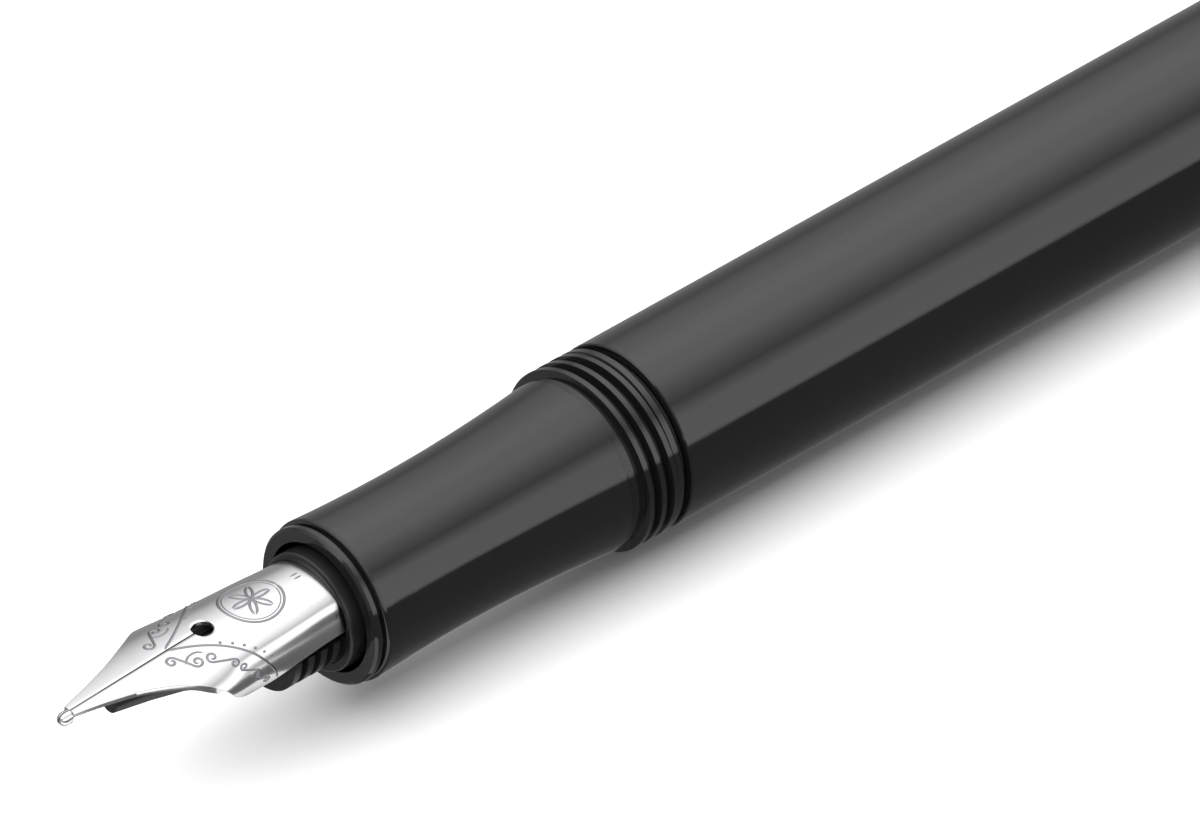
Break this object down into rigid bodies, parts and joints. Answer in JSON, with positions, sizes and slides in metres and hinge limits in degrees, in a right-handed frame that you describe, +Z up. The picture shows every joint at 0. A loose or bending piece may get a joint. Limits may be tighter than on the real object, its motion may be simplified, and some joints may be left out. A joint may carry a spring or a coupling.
{
  "type": "fountain pen",
  "caption": "Fountain pen with a flared steel nib, finned feed, waisted threaded grip, round barrel, piston ink converter and a faceted clip cap posted on its tail.",
  "frame": {"origin": "bottom centre of the whole pen, on the surface that the cap's lowest flat rests on", "axes": "+X along the pen from the nib to the cap's finial, +Z up out of the nib's top face, pen level"},
  "size_m": [0.153, 0.014, 0.016],
  "materials": {
    "black_resin": "polished black resin",
    "black_satin": "moulded black plastic with a soft sheen",
    "nib_steel": "polished stainless steel with stamped scrollwork",
    "tipping_metal": "ground and polished hard alloy",
    "seal_rubber": "smooth moulded rubber",
    "clear_plastic": "clear moulded plastic",
    "white_plastic": "off-white moulded plastic",
    "bright_metal": "bright plated metal"
  },
  "bodies": {
    "barrel": {"barrel": "black_resin"},
    "cap": {"cap_shell": "black_resin", "cap_liner": "black_satin", "clip": "bright_metal", "cap_finial": "black_resin"},
    "seal": {"barrel_seal": "seal_rubber"},
    "section": {"grip_section": "black_resin", "front_ring": "black_resin", "nib_housing": "black_satin"},
    "nib_unit": {"nib": "nib_steel", "tipping_pellet": "tipping_metal", "feed": "black_satin"},
    "converter": {"converter_tube": "clear_plastic", "converter_sleeve": "bright_metal", "rod_guide": "white_plastic"},
    "knob": {"converter_knob": "black_satin"},
    "plunger": {"piston": "seal_rubber", "piston_rod": "white_plastic"}
  },
  "joints": [
    {"name": "cap_pull", "type": "slide", "parent": "barrel", "child": "cap", "axis": [1, 0, 0], "range_m": [0, 0.03]},
    {"name": "section_travel", "type": "slide", "parent": "barrel", "child": "seal", "axis": [-1, 0, 0], "range_m": [0, 0.006]},
    {"name": "section_turn", "type": "hinge", "parent": "seal", "child": "section", "pos_m": [-0.03385, 0, 0.0067], "axis": [-1, 0, 0], "range_deg": [0, 2160]},
    {"name": "nib_pull", "type": "slide", "parent": "section", "child": "nib_unit", "axis": [-1, 0, 0], "range_m": [0, 0.012]},
    {"name": "converter_pull", "type": "slide", "parent": "section", "child": "converter", "axis": [1, 0, 0], "range_m": [0, 0.005]},
    {"name": "knob_turn", "type": "hinge", "parent": "converter", "child": "knob", "pos_m": [0.01615, 0, 0.0067], "axis": [-1, 0, 0], "range_deg": [0, 2880]},
    {"name": "piston_travel", "type": "slide", "parent": "converter", "child": "plunger", "axis": [1, 0, 0], "range_m": [0, 0.018]}
  ],
  "couplings": [
    {"joint": "section_turn", "follows": "section_travel", "rad_per_m": 6283.1},
    {"joint": "knob_turn", "follows": "piston_travel", "rad_per_m": 2792.5}
  ]
}
